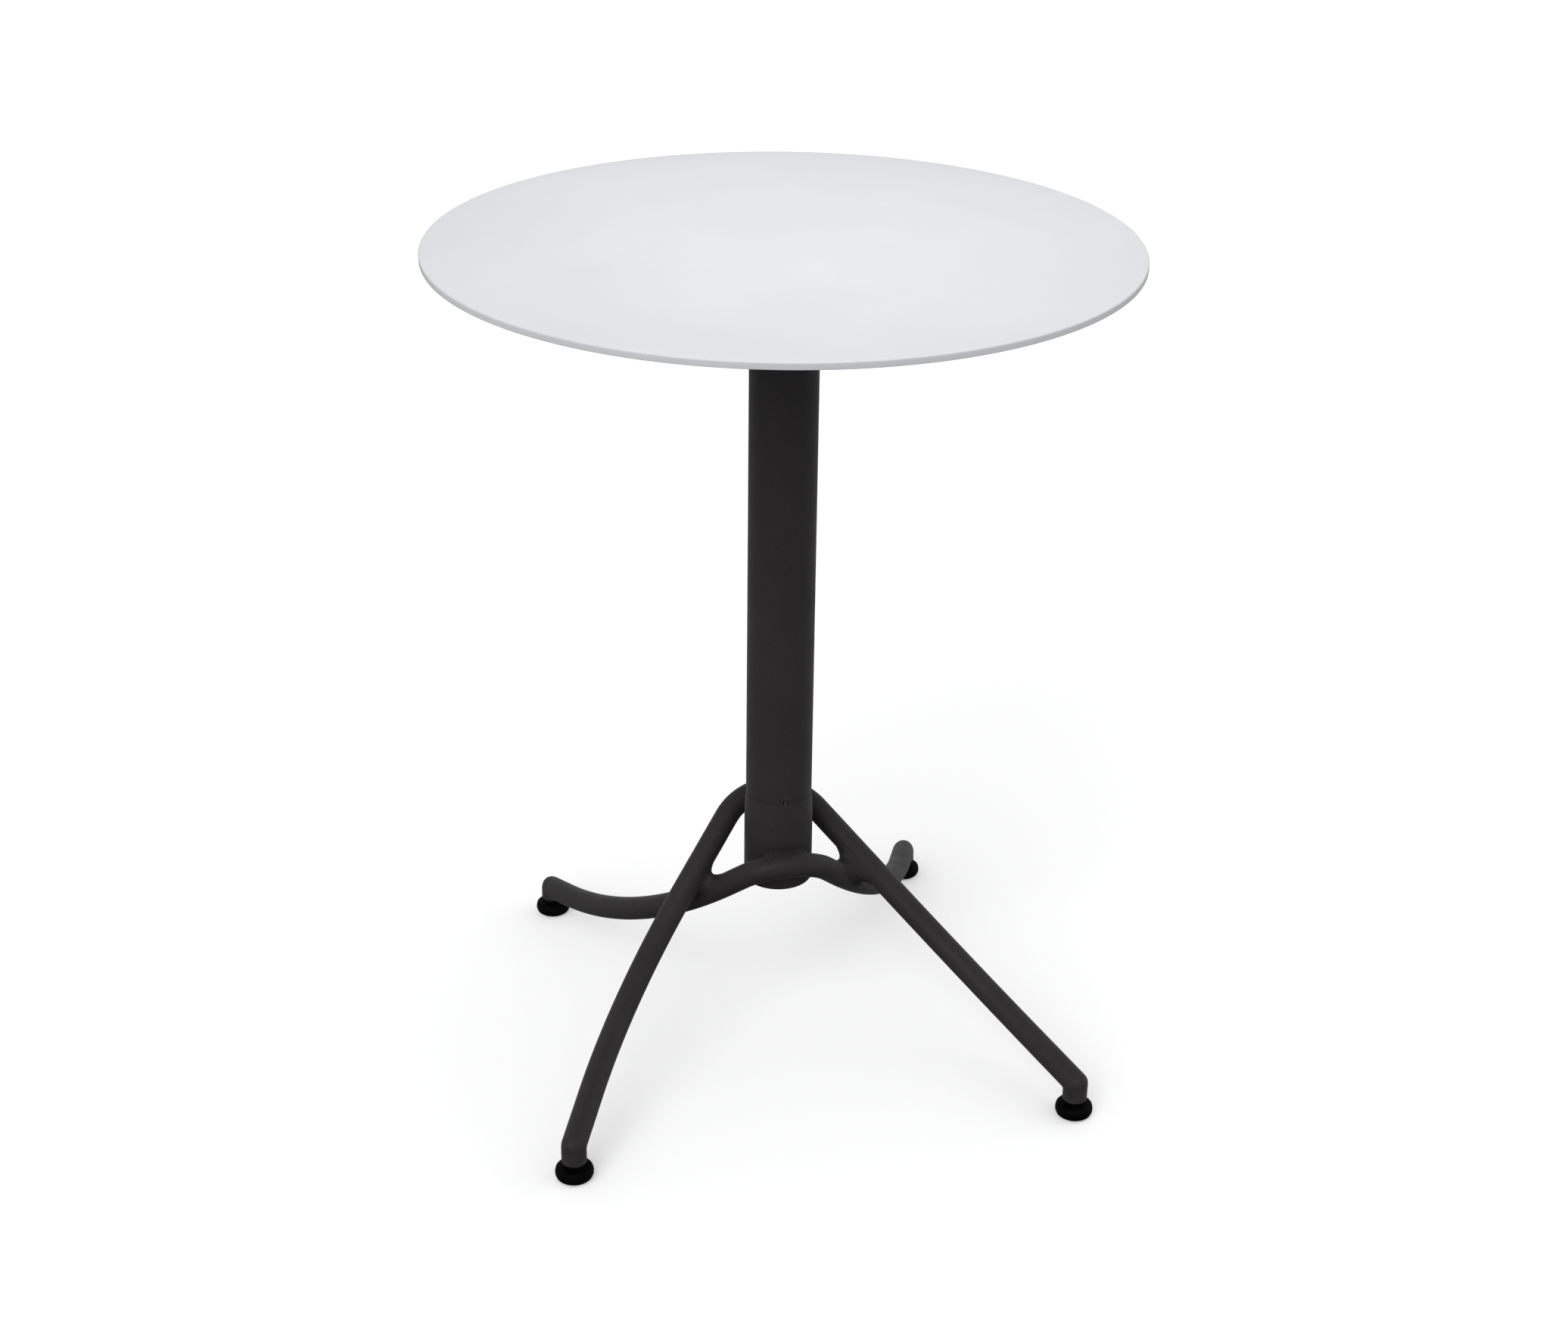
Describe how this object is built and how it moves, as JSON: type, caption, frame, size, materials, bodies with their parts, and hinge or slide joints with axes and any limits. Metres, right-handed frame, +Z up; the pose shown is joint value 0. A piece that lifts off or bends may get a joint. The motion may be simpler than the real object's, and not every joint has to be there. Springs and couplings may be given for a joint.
{
  "type": "tilt-top bistro table",
  "caption": "Round white tilt-top bistro table on a slim dark column with a base of two crossed bent tubes on screw-in glides.",
  "frame": {"origin": "on the floor, straight under the centre of the round top", "axes": "+Z up; -Y is the front, where the release lever is and whose edge lifts when the top tilts; +X is to the right when the table is seen from the front"},
  "size_m": [0.6, 0.6, 0.75],
  "materials": {
    "white_top": "matt white compact laminate, fine texture",
    "powder_coat": "matt anthracite fine-texture powder coat on steel",
    "black_plastic": "moulded black plastic, satin",
    "black_rubber": "black rubber, matt",
    "nylon": "natural nylon bearing bush",
    "zinc_steel": "bright zinc plated steel",
    "spring_steel": "plain spring steel wire"
  },
  "bodies": {
    "base": {"base_socket": "powder_coat", "column_cap": "black_plastic", "column_spigot": "zinc_steel", "column_tube": "powder_coat", "crossing_weld_left": "powder_coat", "crossing_weld_right": "powder_coat", "front_leg_tube": "powder_coat", "front_tube_weld_lower": "powder_coat", "front_tube_weld_upper": "powder_coat", "glide_insert_front_left": "black_plastic", "glide_insert_front_right": "black_plastic", "glide_insert_rear_left": "black_plastic", "glide_insert_rear_right": "black_plastic", "hinge_bracket": "powder_coat", "hinge_clip": "zinc_steel", "hinge_pin": "zinc_steel", "latch_keeper": "zinc_steel", "rear_leg_tube": "powder_coat", "rear_tube_weld_lower": "powder_coat", "rear_tube_weld_upper": "powder_coat", "rest_pad": "black_rubber", "socket_end_plate": "powder_coat", "tie_bolt": "zinc_steel", "tie_washer": "zinc_steel"},
    "top": {"tabletop": "white_top", "carrier_plate": "powder_coat", "carrier_screw_1": "zinc_steel", "carrier_screw_2": "zinc_steel", "carrier_screw_3": "zinc_steel", "carrier_screw_4": "zinc_steel", "hinge_bush_left": "nylon", "hinge_bush_right": "nylon", "lever_pin": "zinc_steel"},
    "lever": {"release_lever": "powder_coat", "lever_grip": "black_rubber", "lever_spring": "spring_steel"},
    "glide_front_left": {"glide_stud_front_left": "zinc_steel", "glide_pad_front_left": "black_plastic"},
    "glide_front_right": {"glide_stud_front_right": "zinc_steel", "glide_pad_front_right": "black_plastic"},
    "glide_rear_left": {"glide_stud_rear_left": "zinc_steel", "glide_pad_rear_left": "black_plastic"},
    "glide_rear_right": {"glide_stud_rear_right": "zinc_steel", "glide_pad_rear_right": "black_plastic"}
  },
  "joints": [
    {"name": "tabletop_tilt", "type": "hinge", "parent": "base", "child": "top", "pos_m": [0, 0.039, 0.718], "axis": [-1, 0, 0], "range_deg": [0, 90]},
    {"name": "lever_release", "type": "hinge", "parent": "top", "child": "lever", "pos_m": [0, -0.057, 0.7265], "axis": [-1, 0, 0], "range_deg": [0, 12], "stiffness_Nm_per_rad": 1.5, "springref_deg": -20.05},
    {"name": "glide_front_left_screw", "type": "slide", "parent": "base", "child": "glide_front_left", "axis": [0, 0, -1], "range_m": [0, 0.008]},
    {"name": "glide_front_right_screw", "type": "slide", "parent": "base", "child": "glide_front_right", "axis": [0, 0, -1], "range_m": [0, 0.008]},
    {"name": "glide_rear_left_screw", "type": "slide", "parent": "base", "child": "glide_rear_left", "axis": [0, 0, -1], "range_m": [0, 0.008]},
    {"name": "glide_rear_right_screw", "type": "slide", "parent": "base", "child": "glide_rear_right", "axis": [0, 0, -1], "range_m": [0, 0.008]}
  ]
}
